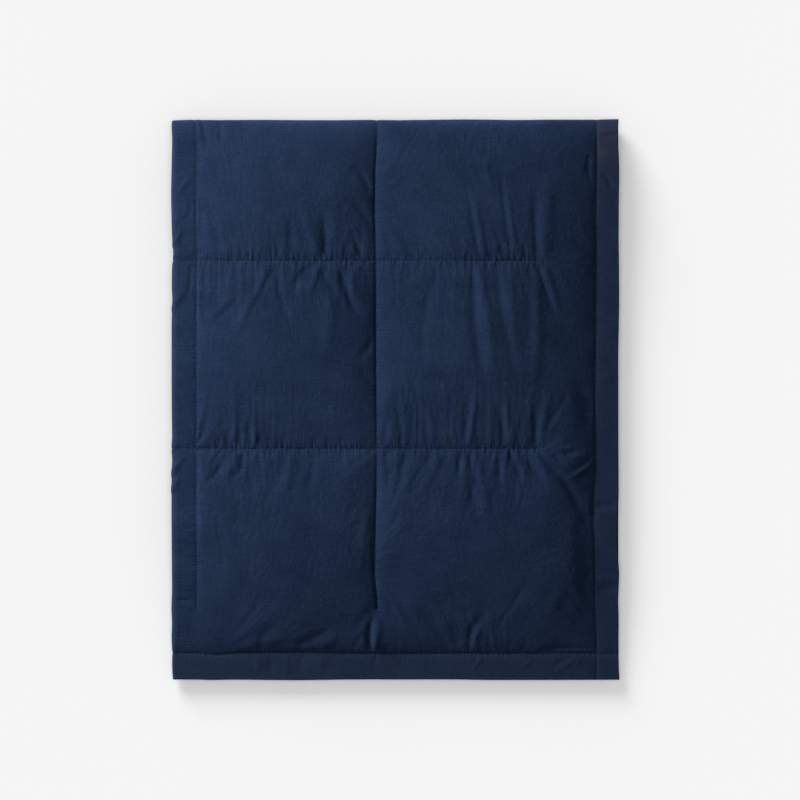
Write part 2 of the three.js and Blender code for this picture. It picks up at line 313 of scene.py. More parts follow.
def top_fold_length(u):
    inner = smooth_step(side_fold_middle - FOLD_SLIP_WIDTH, side_fold_middle + FOLD_SLIP_WIDTH, u)
    return mix(OUTER_FOLD_LENGTH, INNER_FOLD_LENGTH, inner)


def wander(place, table, column):
    """How far a line has wandered at a place along it, in metres, from a table in millimetres."""
    marks = sorted(table)
    places, offsets = [row[0] for row in marks], [row[column] for row in marks]
    spread = (-WANDER_SMOOTHING, 0, WANDER_SMOOTHING)
    return sum(np.interp(place * 1000 + shift, places, offsets) for shift in spread) / len(spread) / 1000


def wandered(u, v, x, y, upper):
    """The top layer's place once its sewn lines and its hem's edge have wandered."""
    line, seam, edge = (wander(y, ALONG_WANDER, column) for column in (1, 2, 3))
    from_line = bell(u - COLUMN_LINES[0], LINE_WANDER_REACH)
    from_seam = np.where(u < HEM, u / HEM, bell(u - HEM, SEAM_WANDER_REACH))
    from_edge = np.clip(1 - u / HEM, 0, 1)
    strip = STRIP_LINE_IN * bell(u - COLUMN_LINES[1], STRIP_LINE_REACH)
    near_seam, near_edge, fold = (wander(x, ACROSS_WANDER, column) for column in (1, 2, 3))
    near = near_seam * np.where(v < HEM, v / HEM, bell(v - HEM, SEAM_WANDER_REACH))
    near = near + near_edge * np.clip(1 - v / HEM, 0, 1)
    fold = fold * bell(v - top_fold_start - top_fold_length(u) / 2, FOLD_WANDER_REACH)
    aside = line * from_line + seam * from_seam + edge * from_edge + strip
    return x + aside * upper, y + near * upper + fold


def fold_place(u, v):
    """Where a point lies once folded: x, y, how far it is an inner layer, and how far an under one."""
    filled = loft_rise(np.minimum(v, LENGTH - v) - HEM)
    fold_x = mix(HEM_FOLD_X, SIDE_FOLD_X, filled)
    turn = np.pi * np.clip((u - side_fold_start) / SIDE_FOLD_LENGTH, 0, 1)
    on_hem = mix(HEM_EDGE_X, HEM_SEAM_X, u / HEM)
    on_top = HEM_SEAM_X - (u - HEM)
    last_line_x = HEM_SEAM_X - (COLUMN_LINES[1] - HEM)
    strip_share = (u - COLUMN_LINES[1]) / (side_fold_start - COLUMN_LINES[1])
    in_fold = fold_x - mix(HEM_FOLD_REACH, SIDE_FOLD_REACH, filled) * np.sin(turn)
    third_line_x = SIDE_FOLD_X + COLUMN_LINES[2] - side_fold_end
    inner_share = (u - side_fold_end) / (COLUMN_LINES[2] - side_fold_end)
    in_strip = mix(last_line_x, fold_x, strip_share)
    past_fold = mix(fold_x, third_line_x, inner_share)
    x = np.select(
        [u < HEM, u < COLUMN_LINES[1], u < side_fold_start, u < side_fold_end, u < COLUMN_LINES[2]],
        [on_hem, on_top, in_strip, in_fold, past_fold],
        SIDE_FOLD_X + u - side_fold_end,
    )
    inner = (1 - np.cos(turn)) / 2
    fold_length = top_fold_length(u)
    roll = np.pi * np.clip((v - top_fold_start) / fold_length, 0, 1)
    in_roll = TOP_FOLD_Y + mix(OUTER_FOLD_REACH, INNER_FOLD_REACH, inner**FOLD_CORNER_POWER) * np.sin(roll)
    beyond = TOP_FOLD_Y - (v - top_fold_start - fold_length)
    past_start = np.where(v < top_fold_start + fold_length, in_roll, beyond)
    y = np.where(v < top_fold_start, NEAR_EDGE_Y + v, past_start)
    under = (1 - np.cos(roll)) / 2
    side_fold_share = bell(u - side_fold_middle, DENT_REACH)
    for dent_y, out, reach in SIDE_FOLD_DENTS:
        x = x - out * bell(y - dent_y, reach) * side_fold_share
    x, y = wandered(u, v, x, y, (1 - inner) * (1 - under))
    return x, y, inner, under


def layer_heights(x, y):
    """Heights of the middle of the four layers, from the surface up."""
    lowest_loft = loft_rise(HEM_SEAM_X - x) * loft_rise(y - lowest_far_edge_y - HEM)
    second_loft = loft_rise(inner_seam_x - x) * loft_rise(y - second_far_edge_y - HEM)
    off_lowest = 1 - smooth_step(second_far_edge_y, (lowest_far_edge_y + second_far_edge_y) / 2, y)
    near_slope = smooth_step(NEAR_SLOPE_END, NEAR_SLOPE_START, y)
    to_fold = np.clip((FOLD_SLOPE_START - x) / (FOLD_SLOPE_START - SIDE_FOLD_X), 0, 1)
    fold_slope = FOLD_SLOPE_DROP * to_fold**2
    third_lift = THIRD_LIFT - fold_slope - THIRD_SIDE_DROP * (1 - loft_rise(inner_seam_x - x))
    third = THIRD_HEM + near_slope * third_lift
    side_slope = np.clip((x - SIDE_SLOPE_START) / (HEM_SEAM_X - SIDE_SLOPE_START), 0, 1)
    hem_slope = np.clip((x - HEM_SEAM_X) / (HEM_EDGE_X - HEM_SEAM_X), 0, 1)
    far = 1 - (1 - FAR_SLOPE_SHARE) * smooth_step(FAR_SLOPE_START, FAR_SLOPE_END, y)
    support = 1 - far * (SIDE_SLOPE_DROP * side_slope**2 + HEM_SLOPE_DROP * hem_slope)
    lift = (THIRD_LIFT - fold_slope) * near_slope + TOP_LIFT * loft_rise(y - near_seam_y)
    top = TOP_HEM - HEM_DROOP * np.clip((near_seam_y - y) / HEM, 0, 1) + support * lift
    for line in ROW_LINES[:2]:
        top = top + LINE_LIFT * bell(y - NEAR_EDGE_Y - line, LINE_LIFT_REACH) * loft_rise(HEM_SEAM_X - x)
    column_x = HEM_SEAM_X + HEM - COLUMN_LINES[0]
    top = top + LINE_LIFT * bell(x - column_x, LINE_LIFT_REACH) * loft_rise(y - near_seam_y)
    lowest = LOWEST_HEM + LOWEST_LOFT * lowest_loft
    second = SECOND_HEM - SECOND_HEM_DROP * off_lowest + SECOND_LIFT * lowest_loft + SECOND_LOFT * second_loft
    return lowest, second, third, top


def middle_points(u, v):
    x, y, inner, under = fold_place(u, v)
    lowest, second, third, top = layer_heights(np.maximum(x, SIDE_FOLD_X), np.minimum(y, TOP_FOLD_Y))
    z = mix(mix(top, third, inner), mix(lowest, second, inner), under)
    return np.stack([x, y, z], axis=1)


def front_directions(u, v):
    step = DIRECTION_STEP
    across = middle_points(u + step, v) - middle_points(u - step, v)
    along = middle_points(u, v + step) - middle_points(u, v - step)
    normal = np.cross(along, across)
    return normal / np.linalg.norm(normal, axis=1, keepdims=True)


# Creases of the top layer, in millimetres from the middle of the stack and degrees from +X. A plus rise is a
# ridge. Those in the boxes and on the left strip were read from the photograph as points, which a program
# turned into these columns. Those on the hems were listed here. Some rises were scaled later.
CREASES = (
    # start x, start y, heading, length, bow to the left, rise, half width
    # Upper left box
    (-154, 209, 93, 66, -1, -3.2, 5),
    (-115, 212, 105, 93, 0, 3.2, 7),
    (-103, 208, 94, 84, -1, -5.2, 5.5),
    (-82, 214, 98, 92, 0, 2.6, 8),
    (-34, 308, 120, 51, 2, -3.9, 5.5),
    (-34, 258, 129, 60, 1, -3.2, 6),
    (-48, 209, 111, 50, 2, -3.2, 4),
    (-172, 209, 102, 40, 0, -2.1, 3.5),
    (-287, 415, 282, 49, -1, -3.2, 4),
    (-260, 413, 273, 35, 0, -2.9, 4),
    # Middle left box
    (-187, 199, 241, 137, 6, 3.8, 8),
    (-180, 199, 243, 104, 1, -3.1, 5),
    (-244, 149, 225, 56, 0, 2.5, 8),
    (-234, 149, 223, 59, 1, -2.0, 5),
    (-175, 202, 284, 101, -7, -3.2, 5),
    (-124, 197, 253, 63, -15, -3.8, 6),
    (-113, 199, 251, 53, 0, 3.8, 6),
    (-111, 192, 297, 54, 3, -2.5, 5),
    (-79, 190, 295, 86, -7, -6.2, 6),
    (-57, 199, 273, 57, -6, 3.8, 6),
    (-95, 152, 264, 110, 1, 3.1, 10),
    (-32, 89, 233, 44, 1, -3.2, 6),
    (-33, 24, 132, 33, 1, -2.5, 6),
    (-51, 203, 284, 20, 0, -3.2, 4),
    (-101, 202, 279, 13, 0, -3.8, 3.5),
    (-154, 202, 273, 12, 0, -2.5, 3),
    (-250, -70, 92, 23, 0, -2.8, 4),
    (-229, -70, 92, 29, 0, -2.5, 4),
    (-215, -70, 93, 46, 0, -3.2, 4.5),
    (-210, -68, 90, 63, 0, 2.5, 6),
    (-200, -70, 93, 23, 0, -2.0, 4),
    (-116, -70, 98, 19, 0, -2.2, 4),
    (-79, -70, 95, 19, 0, -2.0, 4),
    # Left strip
    (-301, 332, 229, 40, 0, 2.9, 3),
    (-304, 292, 236, 35, 9, -3.8, 3),
    (-329, 225, 66, 36, 0, 3.8, 4),
    (-302, 202, 260, 64, 3, -4.2, 3),
    (-330, 130, 62, 39, 2, 3.8, 4),
    (-331, -115, 55, 42, 4, 3.5, 3.2),
    (-331, -139, 63, 31, 2, 2.9, 3.5),
    (-304, -302, 173, 26, -2, -3.4, 3),
    # Upper right box
    (125, 209, 100, 111, 0, -3, 5),
    (131, 209, 99, 117, 0, 2.6, 6),
    (133, 355, 284, 58, -1, 2.2, 5),
    (173, 209, 97, 160, 2, -3, 5),
    (179, 209, 99, 128, 1, 2.4, 5.5),
    (211, 209, 91, 116, 4, -3.5, 6),
    (219, 212, 85, 140, 1, 3.5, 10),
    (103, 210, 85, 35, 0, 1.8, 4),
    (192, 209, 94, 26, 0, -2.4, 3.5),
    (157, 209, 93, 29, 0, -1.6, 4),
    (288, 363, 281, 50, -7, -3, 3.5),
    # Middle right box
    (70, 202, 266, 200, -22, -2.2, 8),
    (114, 194, 277, 198, -7, -5, 8),
    (123, 199, 277, 185, 4, 4, 8),
    (145, 202, 282, 221, -4, -2.6, 7),
    (168, 202, 276, 147, -3, 2.5, 7),
    (195, 202, 268, 143, 5, -2.2, 7),
    (207, 179, 267, 197, 7, 3, 8),
    (212, 202, 288, 91, -2, -3, 5),
    (219, 199, 288, 86, 0, 3, 6),
    (101, -70, 83, 86, 0, -3.2, 5.5),
    (105, -69, 82, 96, -3, 3.2, 7),
    (162, -70, 99, 75, -2, -4, 5.5),
    (167, -70, 97, 73, -4, 3, 5.5),
    (208, -70, 93, 73, -1, -4, 6),
    (212, -70, 80, 91, 0, 4, 7.5),
    (226, -59, 65, 64, 1, 2, 5),
    (233, -34, 66, 66, -2, -2, 5),
    (270, 21, 272, 80, 14, -3, 11),
    (57, -70, 101, 67, -2, 1.6, 6),
    (-15, -70, 91, 43, 0, -3.4, 4.5),
    (-7, -68, 89, 37, 0, 2.5, 5),
    # Lower left box
    (-262, -75, 247, 33, 1, -3.0, 4.5),
    (-249, -75, 234, 70, 7, -4.1, 5),
    (-225, -75, 251, 49, 5, -4.1, 4.5),
    (-235, -75, 242, 48, 5, 2.5, 5),
    (-202, -75, 272, 30, 0, -1.8, 4),
    (-162, -75, 246, 96, 7, -2.1, 7),
    (-152, -75, 256, 80, 2, 3.0, 8),
    (-121, -75, 255, 83, 7, -2.5, 6.5),
    (-73, -75, 283, 24, 0, 2.3, 4),
    (-203, -371, 46, 53, 9, -3.0, 8),
    (-146, -365, 25, 67, 1, -4.1, 7),
    (-110, -366, 30, 29, 0, 2.5, 6),
    (-37, -373, 83, 62, 5, -6.9, 5),
    (-32, -372, 80, 51, 0, 4.6, 6),
    (-35, -311, 228, 43, 0, -2.5, 6),
    (-61, -369, 62, 26, 0, -2.1, 5),
    # Lower right box
    (-13, -73, 268, 34, 0, -3.4, 4.5),
    (-5, -73, 267, 32, 0, 2.2, 4.5),
    (23, -73, 270, 30, 0, -1.8, 3),
    (51, -73, 267, 49, 0, -2, 4.5),
    (60, -73, 271, 37, 0, 2, 4.5),
    (96, -73, 267, 49, 0, -3.2, 4),
    (104, -73, 266, 49, 0, 2.4, 4),
    (112, -73, 270, 51, 0, -3, 4),
    (119, -73, 280, 124, 1, 2.8, 6),
    (110, -122, 280, 70, 3, -2.6, 6),
    (141, -73, 276, 18, 0, -2.2, 3.5),
    (153, -89, 270, 55, 0, -2, 4.5),
    (163, -75, 267, 59, 0, 2.2, 4.5),
    (171, -73, 294, 57, -5, -3, 4.5),
    (178, -73, 290, 58, 0, 2.5, 4.5),
    (192, -77, 304, 61, -4, -3, 4.5),
    (206, -75, 296, 57, 0, 4, 5),
    (226, -95, 299, 120, 9, -5, 6.5),
    (295, -92, 213, 56, 1, 3, 3),
    (289, -88, 215, 39, 0, -2.4, 3.2),
    (234, -81, 315, 24, 0, -2.6, 3.6),
    (250, -82, 21, 23, 0, -2.2, 4.5),
    (283, -81, 193, 29, 0, 2, 3.4),
    (211, -74, 329, 28, 0, 2, 3.2),
    (289, -139, 270, 38, 0, 2.2, 4.5),
    (281, -170, 268, 29, 0, -2.6, 5),
    (153, -337, 60, 99, -1, -1.6, 4.5),
    (111, -373, 65, 68, 10, -4.2, 6),
    (118, -376, 72, 45, 7, 3.6, 5.5),
    (96, -362, 115, 39, 0, -2.6, 11),
    (228, -318, 67, 61, 0, 1.6, 8),
    (292, -254, 225, 37, 0, -2.6, 8),
    (-12, -373, 92, 13, 0, -1.6, 4),
    # Near hem
    (131, -381, 237, 34, 0, 2.3, 2.6),
    (203, -389, 218, 24, 0, 2.0, 2.6),
    (274, -382, 212, 50, 2, 2.5, 3),
    (281, -380, 234, 30, 0, 2.2, 2.6),
    (258, -383, 214, 34, 0, -1.8, 3.5),
    (-204, -379, 268, 34, 0, 1.6, 5),
    (-186, -379, 272, 36, 0, -1.6, 5),
    (-163, -379, 271, 36, 0, 1.6, 6),
    (-141, -379, 267, 36, 0, -1.4, 5),
    (-112, -379, 270, 34, 0, 1.4, 6),
    (-30, -380, 262, 26, 0, -1.3, 4),
    (40, -380, 276, 28, 0, 1.3, 5),
    # Side hem
    (297, -155, 352, 40, 0, -2.5, 6),
    (297, -172, 8, 40, 0, 1.8, 7),
    (297, -264, 350, 40, 0, 2.1, 5),
    (297, -283, 4, 40, 0, -2.5, 5),
    (299, 398, 358, 36, 0, 2.7, 2.6),
    (299, 389, 2, 36, 0, -1.8, 4),
    (299, 364, 356, 36, 0, 1.8, 3.5),
    (309, 337, 301, 32, 0, -2.2, 3),
    (300, 120, 345, 34, 0, -1.2, 5),
    (299, 30, 10, 34, 0, 1.2, 6),
)

# Share of the table's rise that is used, and the shares of a crease's length where it rises and fades
CREASE_SHARE = 0.6
CREASE_RISES = (-0.1, 0.12)
CREASE_FADES = (0.5, 1)

# How far from a seam a crease is grown, and the groove that the thread pulls in along a seam
CREASE_GROWTH = 0.012
GROOVE_DEPTH = 0.001
GROOVE_WIDTH = 0.0024


def crease_height(x, y):
    """Height of the creases at a place of the top layer."""
    height = np.zeros_like(x)
    for start_x, start_y, heading, length, bow, rise, width in CREASES:
        off_x, off_y = x * 1000 - start_x, y * 1000 - start_y
        cosine, sine = math.cos(math.radians(heading)), math.sin(math.radians(heading))
        ahead = (off_x * cosine + off_y * sine) / length
        side = off_y * cosine - off_x * sine - 4 * bow * ahead * (1 - ahead)
        fade = smooth_step(*CREASE_RISES, ahead) * (1 - smooth_step(*CREASE_FADES, ahead))
        height += rise * fade * bell(side, width)
    return CREASE_SHARE * height / 1000


# Short puckers that the stitches draw up along their lines, in millimetres
PUCKER_GAP = (3.5, 9)
PUCKER_LENGTH = (6, 22)
PUCKER_DEPTH = (0.8, 2.1)
PUCKER_WIDTH = (1.5, 2.5)
PUCKER_SEED = 11

# The stretches of x where the rows draw up whole puckers, and the share of one elsewhere
DRAWN_STRETCHES = ((-250, -35), (105, 210))
CALM_SHARE = 0.5

# The share of a pucker on each side of the middle column's line
COLUMN_PUCKER_SHARES = ((-1, 0.45), (1, 0.225))


def puckers(start, end, draw, calm_share, drawn=()):
    """Puckers along a line: places, lengths, depths and widths in metres."""
    place, made = start, []
    while place < end:
        share = 1 if any(low < place < high for low, high in drawn) else calm_share
        length, depth, width = (draw.uniform(*span) for span in (PUCKER_LENGTH, PUCKER_DEPTH, PUCKER_WIDTH))
        made.append((place / 1000, length * share / 1000, depth * share / 1000, width / 1000))
        place += draw.uniform(*PUCKER_GAP)
    return made


def all_puckers():
    """For each side of each line: whether it is a row's, the line's place, the side and its puckers."""
    draw = np.random.default_rng(PUCKER_SEED)
    row_start, row_end = SIDE_FOLD_X * 1000, (HEM_SEAM_X - ROW_LINE_GAP) * 1000
    column_start, column_end = (HEM + COLUMN_LINE_GAP) * 1000, top_fold_start * 1000
    sets = [
        (True, line, side, puckers(row_start, row_end, draw, CALM_SHARE, DRAWN_STRETCHES))
        for line in ROW_LINES[:2] for side in (-1, 1)
    ]
    sets += [
        (False, COLUMN_LINES[0], side, puckers(column_start, column_end, draw, share))
        for side, share in COLUMN_PUCKER_SHARES
    ]
    return sets


def pucker_height(x, u, v):
    """Depth of the puckers at a place, as a height below 0."""
    height = np.zeros_like(x)
    longest = PUCKER_LENGTH[1] / 1000
    for is_row, line, side, line_puckers in all_puckers():
        off, places = (side * (v - line), x) if is_row else (side * (u - line), v)
        band = np.flatnonzero((off > 0) & (off < longest))
        off, places = off[band], places[band]
        for place, length, depth, width in line_puckers:
            height[band] -= depth * np.clip(1 - off / length, 0, 1) * bell(places - place, width)
    return height


def front_height(u, v):
    """How far the front stands off the middle of its layer."""
    _, _, inner, under = fold_place(u, v)
    upper = mix(TOP_PUFF, INNER_PUFF, inner)
    lower = mix(FLOOR_PUFF, INNER_PUFF, inner)
    side_tension = 1 - SIDE_FOLD_PULL * bell(u - side_fold_middle, SIDE_FOLD_PULL_REACH)
    past_top = v - top_fold_start - top_fold_length(u) / 2
    top_tension = 1 - TOP_FOLD_PULL * bell(past_top, TOP_FOLD_PULL_REACH)
    hem_tension = 1 - HEM_PULL * bell(u - HEM, HEM_PULL_REACH)
    return CLOTH / 2 + mix(upper, lower, under) * puff(u, v) * side_tension * top_tension * hem_tension


def seam_distance(u, v):
    """Distance from the nearest line of stitches or hem seam."""
    hems = [np.abs(np.minimum(u, WIDTH - u) - HEM), np.abs(np.minimum(v, LENGTH - v) - HEM)]
    return np.min(line_distances(u, v) + hems, axis=0)


def fine_relief(u, v):
    """Height of what is too narrow for the simulated cover: creases, puckers and the thread's groove."""
    x, y, inner, under = fold_place(u, v)
    on_top = (1 - inner) * (1 - under)
    seam = seam_distance(u, v)
    groove = -GROOVE_DEPTH * bell(seam, GROOVE_WIDTH)
    creases = crease_height(x, y) * smooth_step(0, CREASE_GROWTH, seam)
    return (groove + pucker_height(x, u, v) + creases) * on_top


def back_height(u, v):
    side_tension = 1 - BACK_FOLD_PULL * bell(u - side_fold_middle, BACK_FOLD_PULL_REACH)
    return CLOTH / 2 + BACK_PUFF * puff(u, v, front=False) * side_tension


def face_points(u, v, side):
    """Points on the front of the cloth where side is above 0, and on its back elsewhere."""
    height = np.where(side > 0, front_height(u, v), -back_height(u, v))
    points = middle_points(u, v) + front_directions(u, v) * height[:, None]
    points[points[:, 2] < PRESSED_FLAT, 2] = 0
    return points


# The flat cloth's mesh: sections across and along, each as its end and its number of steps. The top fold has
# a measure of its own, since the outer layer's way round it is longer than the inner one's.
FOLD_PARAMETER = 0.05
ACROSS = (
    (HEM, 3),
    (COLUMN_LINES[0], 28),
    (COLUMN_LINES[1], 23),
    (side_fold_start, 2),
    (side_fold_end, 4),
    (COLUMN_LINES[2], 14),
    (WIDTH - HEM - LOFT_REACH, 14),
    (WIDTH - HEM, 5),
    (WIDTH, 3),
)
ALONG = (
    (HEM, 3),
    (ROW_LINES[0], 26),
    (ROW_LINES[1], 24),
    (top_fold_start, 15),
    (top_fold_start + FOLD_PARAMETER, 8),
    (ROW_LINES[2], 4),
    (ROW_LINES[3], 16),
    (LENGTH - HEM - 2 * LOFT_REACH, 10),
    (LENGTH - HEM, 9),
    (LENGTH, 3),
)

# How many times each part of the front that shows is cut again, and how closely it gathers to the seams
FINE_CUTS = 5
SEAM_CLUSTER_REACH = 0.024
SEAM_CLUSTER = 0.55


def gathered(places, lines):
    """Moves the mesh's places towards the lines, so that the grooves along them have points enough."""
    for line in lines:
        share = np.abs(places - line) / SEAM_CLUSTER_REACH
        closer = line + (places - line) * (1 - SEAM_CLUSTER + SEAM_CLUSTER * share)
        places = np.where(share < 1, closer, places)
    return places


def stations(sections):
    places = [0.0]
    for end, steps in sections:
        start = places[-1]
        places += [mix(start, end, step / steps) for step in range(1, steps + 1)]
    return places


def slipped(u, along):
    """The mesh's even measure along the throw, as v. The layers slip past each other in the top fold."""
    length = top_fold_length(u)
    fold_end = top_fold_start + FOLD_PARAMETER
    in_fold = top_fold_start + length * (along - top_fold_start) / FOLD_PARAMETER
    after = mix(top_fold_start + length, ROW_LINES[2], (along - fold_end) / (ROW_LINES[2] - fold_end))
    stretches = [along < top_fold_start, along < fold_end, along < ROW_LINES[2]]
    return np.select(stretches, [along, in_fold, after], along)


def grid_of(across, along):
    """A grid with a point for each place across and along, and each point's column and row."""
    bm = bmesh.new()
    bmesh.ops.create_grid(bm, x_segments=len(across) - 1, y_segments=len(along) - 1, size=1)
    column = np.array([round((vert.co.x + 1) / 2 * (len(across) - 1)) for vert in bm.verts])
    row = np.array([round((vert.co.y + 1) / 2 * (len(along) - 1)) for vert in bm.verts])
    return bm, column, row


def flat_throw():
    """A closed flat body of the throw's outline, with its front above and its back below."""
    across, along = stations(ACROSS), stations(ALONG)
    bm, columns, rows = grid_of(across, along)
    for vert, column, row in zip(bm.verts, columns, rows):
        vert.co = (across[column], along[row], -CLOTH / 2)
    made = bmesh.ops.extrude_face_region(bm, geom=bm.faces[:])
    front = [item for item in made["geom"] if isinstance(item, bmesh.types.BMVert)]
    bmesh.ops.translate(bm, verts=front, vec=(0, 0, CLOTH))
    fine = [face for face in bm.faces if face.calc_center_median().z > CLOTH / 4 and shows_from_above(face)]
    edges = list({edge for face in fine for edge in face.edges})
    bmesh.ops.subdivide_edges(bm, edges=edges, cuts=FINE_CUTS, use_grid_fill=True, use_single_edge=True)
    return bm


def shows_from_above(face):
    centre = face.calc_center_median()
    return centre.x < side_fold_end and centre.y < top_fold_start + FOLD_PARAMETER


# The top cover as a sheet of its own, sewn down at the stitches and pushed up a little by the filling. It is
# cut wide across and short along, by these shares, so that it wrinkles mostly along the throw.
COVER_STEP = 0.0042
EXTRA_ACROSS = 0.005
EXTRA_ALONG = -0.004
COVER_END = top_fold_start + FOLD_PARAMETER / 2
COVER_SEED = 7
SEED_HEIGHT = 0.0004
PLACED_FRAME = 12
COVER_FRAMES = 20
COVER_SETTINGS = {
    "quality": 4,
    "mass": 0.03,
    "air_damping": 1,
    "tension_stiffness": 50,
    "compression_stiffness": 50,
    "shear_stiffness": 10,
    "bending_stiffness": 3,
    "use_pressure": True,
    "uniform_pressure_force": 15,
    "vertex_group_mass": "sewn",
    "pin_stiffness": 50,
}

# How firmly the filling, the top fold, the hems and the corners hold the cover, and how far that reaches
SEWN_REACH = COVER_STEP / 10
FILLING_HOLD = 0.04
ROLL_HOLD = 0.15
ROLL_HOLD_REACH = 0.045
HEM_HOLD = 0.1
HEM_HOLD_REACH = 0.035
CORNER_HOLD = 0.3
CORNER_REACH = 0.04


def even_stations(places, step):
    """Places along one direction of the cover, about a step apart and exact at the given ones."""
    marks = [places[0]]
    for start, end in zip(places, places[1:]):
        steps = max(round((end - start) / step), 1)
        marks += [mix(start, end, count / steps) for count in range(1, steps + 1)]
    return np.array(marks)


def cover_marks():
    """The cover's places across and along."""
    across = even_stations((HEM, *COLUMN_LINES[:2]), COVER_STEP)
    along = even_stations((HEM, *ROW_LINES[:2], top_fold_start, COVER_END), COVER_STEP)
    return across, along


def sewn_down(u, along):
    """Whether a point of the cover is held: on the stitches, the hem seams and the outer ends."""
    held = (u < HEM + SEWN_REACH) | (u > COLUMN_LINES[1] - SEWN_REACH)
    held |= (along < HEM + SEWN_REACH) | (along > COVER_END - SEWN_REACH)
    for line in COLUMN_LINES:
        held |= (np.abs(u - line) < SEWN_REACH) & (along > HEM + COLUMN_LINE_GAP)
    for line in ROW_LINES:
        held |= (np.abs(along - line) < SEWN_REACH) & (u > HEM + ROW_LINE_GAP)
    return held


def holds(u, along):
    """How firmly each point of the cover is held: 1 at the stitches, a little where the filling bears it."""
    columns = np.min([np.abs(u - line) for line in (HEM, *COLUMN_LINES[:2])], axis=0)
    to_roll = np.maximum(top_fold_start - along, 0)
    by_hem = HEM_HOLD * bell(np.minimum(u, along) - HEM, HEM_HOLD_REACH)
    by_roll = ROLL_HOLD * bell(to_roll, ROLL_HOLD_REACH)
    corner = CORNER_HOLD * bell(columns, CORNER_REACH) * bell(to_roll, CORNER_REACH)
    return np.where(sewn_down(u, along), 1.0, np.max([by_hem, by_roll, corner, FILLING_HOLD + 0 * u], axis=0))


def cut_places(placed_grid):
    """The sheet's places across and along as it is cut, from its steps where it will lie."""
    cut = []
    for axis, extra in ((1, EXTRA_ACROSS), (0, EXTRA_ALONG)):
        steps = np.linalg.norm(np.diff(placed_grid, axis=axis), axis=2).mean(axis=1 - axis) * (1 + extra)
        places = np.concatenate([[0], np.cumsum(steps)])
        cut.append(places - places[-1] / 2)
    return cut


def sewn_cover(mesh, points, firmness):
    """The cover as a cloth that is brought to its place and held there."""
    cover = shown("cover", mesh)
    cover.shape_key_add(name="cut")
    placed = cover.shape_key_add(name="placed")
    placed.data.foreach_set("co", points.ravel())
    placed.value = 0
    placed.keyframe_insert("value", frame=1)
    placed.value = 1
    placed.keyframe_insert("value", frame=PLACED_FRAME)
    sewn = cover.vertex_groups.new(name="sewn")
    for index, share in enumerate(firmness):
        sewn.add([index], share, "REPLACE")
    cloth = cover.modifiers.new("cloth", "CLOTH")
    for name, value in COVER_SETTINGS.items():
        setattr(cloth.settings, name, value)
    cloth.settings.effector_weights.gravity = 0
    cloth.collision_settings.use_collision = False
    cloth.collision_settings.use_self_collision = False
    cloth.point_cache.frame_start = 1
    cloth.point_cache.frame_end = COVER_FRAMES
    return cover


def settled_cover():
    """How far each point of the cover moves as it wrinkles, on the grid of cover_marks."""
    across, along = cover_marks()
    bm, column, row = grid_of(across, along)
    u, flat_v = across[column], along[row]
    points = face_points(u, slipped(u, flat_v), np.ones_like(u))
    grid = np.zeros((len(along), len(across), 3))
    grid[row, column] = points
    cut_across, cut_along = cut_places(grid)
    uneven = np.random.default_rng(COVER_SEED).uniform(-SEED_HEIGHT, SEED_HEIGHT, len(u))
    for vert, point in zip(bm.verts, np.stack([-cut_across[column], cut_along[row], uneven], axis=1)):
        vert.co = point
    bmesh.ops.reverse_faces(bm, faces=bm.faces[:])
    cover = sewn_cover(mesh_of("cover", bm), points, holds(u, flat_v))
    for frame_number in range(1, COVER_FRAMES + 1):
        bpy.context.scene.frame_set(frame_number)
    settled = cover.evaluated_get(bpy.context.evaluated_depsgraph_get()).to_mesh()
    moved = np.empty(len(u) * 3)
    settled.vertices.foreach_get("co", moved)
    bpy.data.objects.remove(cover)
    bpy.context.scene.frame_set(1)
    grid[row, column] = moved.reshape(-1, 3) - points
    return grid


def cubic_weights(places, marks):
    """The four marks round each place, and their shares in a smooth curve through them."""
    cell = np.clip(np.searchsorted(marks, places) - 1, 0, len(marks) - 2)
    t = np.clip((places - marks[cell]) / (marks[cell + 1] - marks[cell]), 0, 1)
    shares = np.stack([
        -t / 2 + t**2 - t**3 / 2,
        1 - 2.5 * t**2 + 1.5 * t**3,
        t / 2 + 2 * t**2 - 1.5 * t**3,
        -t**2 / 2 + t**3 / 2,
    ], axis=1)
    numbers = np.clip(cell[:, None] + np.arange(-1, 3), 0, len(marks) - 1)
    return numbers, shares


# Where the cloth lies calm between its stitches, so that the cover's wrinkles fade there
CALM_SPOTS = (
    # place across the flat throw, along it, reach across, reach along
    (COLUMN_LINES[1], top_fold_start, 0.06, 0.06),
    (COLUMN_LINES[0], top_fold_start, 0.07, 0.06),
    (HEM, top_fold_start, 0.07, 0.09),
    (COLUMN_LINES[1], HEM, 0.08, 0.08),
    (HEM, ROW_LINES[0], 0.045, 0.05),
    (HEM + 0.035, ROW_LINES[0] - 0.08, 0.045, 0.05),
    (COLUMN_LINES[1], ROW_LINES[1] + 0.02, 0.04, 0.03),
    (COLUMN_LINES[0] - 0.015, HEM + 0.02, 0.05, 0.06),
    (COLUMN_LINES[1] - 0.02, HEM + 0.11, 0.05, 0.07),
)

# How much of the wrinkles goes beside the middle column's line and the hems' seams, and how far from them
CALM_COLUMN = 0.85
CALM_SIDE_SEAM = 0.7
CALM_NEAR_SEAM = 0.4
CALM_LINE_REACH = 0.024
CALM_NEAR_REACH = 2 * CALM_LINE_REACH


def calm(u, along):
    """How much of the cover's wrinkles is left at each place."""
    left = 1 - CALM_COLUMN * bell(u - COLUMN_LINES[0], CALM_LINE_REACH)
    left = left * (1 - CALM_SIDE_SEAM * bell(u - HEM, CALM_LINE_REACH))
    left = left * (1 - CALM_NEAR_SEAM * bell(along - HEM, CALM_NEAR_REACH))
    for spot_u, spot_along, reach_u, reach_along in CALM_SPOTS:
        left = left * (1 - bell(u - spot_u, reach_u) * bell(along - spot_along, reach_along))
    return left


